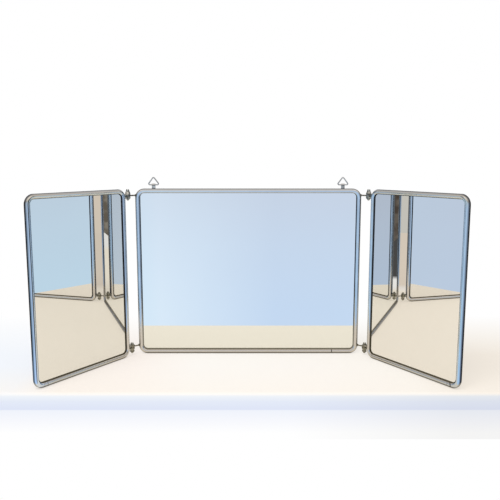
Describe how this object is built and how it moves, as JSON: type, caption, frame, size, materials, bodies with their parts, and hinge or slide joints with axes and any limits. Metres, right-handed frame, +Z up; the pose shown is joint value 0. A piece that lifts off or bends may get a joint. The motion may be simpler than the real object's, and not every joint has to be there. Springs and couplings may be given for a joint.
{
  "type": "triptych vanity mirror",
  "caption": "Folding table or wall mirror: wide centre mirror with half-width wings on friction hinges, tube frames and hanging rings.",
  "frame": {"origin": "middle of the underside of the centre mirror's bottom rail", "axes": "X along the centre mirror to its right as seen from the front, Y away from the mirror's face, Z up"},
  "size_m": [0.5332, 0.1579, 0.2598],
  "materials": {
    "nickel_tube": "polished nickel plate on rolled brass tube, lightly worn",
    "hinge_metal": "nickel plate, dulled and darkened in the grooves",
    "hanger_metal": "tinned steel wire and strip, grey",
    "mirror_glass": "clear float glass silvered on the back",
    "backing_card": "grey straw card",
    "tinned_sheet": "dull tinned sheet"
  },
  "bodies": {
    "centre": {"centre_frame": "nickel_tube", "centre_joint_strip": "hinge_metal", "centre_glass": "mirror_glass", "centre_card": "backing_card", "centre_back_plate": "tinned_sheet", "left_top_hinge_arm": "hinge_metal", "left_bottom_hinge_arm": "hinge_metal", "right_top_hinge_arm": "hinge_metal", "right_bottom_hinge_arm": "hinge_metal", "left_hanger_strap": "hanger_metal", "left_hanger_rivet": "hanger_metal", "right_hanger_strap": "hanger_metal", "right_hanger_rivet": "hanger_metal"},
    "left_wing": {"left_wing_frame": "nickel_tube", "left_wing_joint_strip": "hinge_metal", "left_wing_glass": "mirror_glass", "left_wing_card": "backing_card", "left_wing_back_plate": "tinned_sheet", "left_top_hinge_fork": "hinge_metal", "left_top_hinge_screw": "hinge_metal", "left_top_hinge_nut": "hinge_metal", "left_bottom_hinge_fork": "hinge_metal", "left_bottom_hinge_screw": "hinge_metal", "left_bottom_hinge_nut": "hinge_metal"},
    "right_wing": {"right_wing_frame": "nickel_tube", "right_wing_joint_strip": "hinge_metal", "right_wing_glass": "mirror_glass", "right_wing_card": "backing_card", "right_wing_back_plate": "tinned_sheet", "right_top_hinge_fork": "hinge_metal", "right_top_hinge_screw": "hinge_metal", "right_top_hinge_nut": "hinge_metal", "right_bottom_hinge_fork": "hinge_metal", "right_bottom_hinge_screw": "hinge_metal", "right_bottom_hinge_nut": "hinge_metal"},
    "left_ring": {"left_hanger_ring": "hanger_metal"},
    "right_ring": {"right_hanger_ring": "hanger_metal"}
  },
  "joints": [
    {"name": "left_wing_hinge", "type": "hinge", "parent": "centre", "child": "left_wing", "pos_m": [-0.1705, -0.0098, 0.1217], "axis": [0, 0, 1], "range_deg": [-145.8, 124.2]},
    {"name": "right_wing_hinge", "type": "hinge", "parent": "centre", "child": "right_wing", "pos_m": [0.1705, -0.0098, 0.1217], "axis": [0, 0, -1], "range_deg": [-146.6, 123.4]},
    {"name": "left_ring_swing", "type": "hinge", "parent": "centre", "child": "left_ring", "pos_m": [-0.1357, 0.0041, 0.2487], "axis": [1, 0, 0], "range_deg": [-160, 124]},
    {"name": "right_ring_swing", "type": "hinge", "parent": "centre", "child": "right_ring", "pos_m": [0.1357, 0.0041, 0.2487], "axis": [1, 0, 0], "range_deg": [-160, 124]}
  ]
}
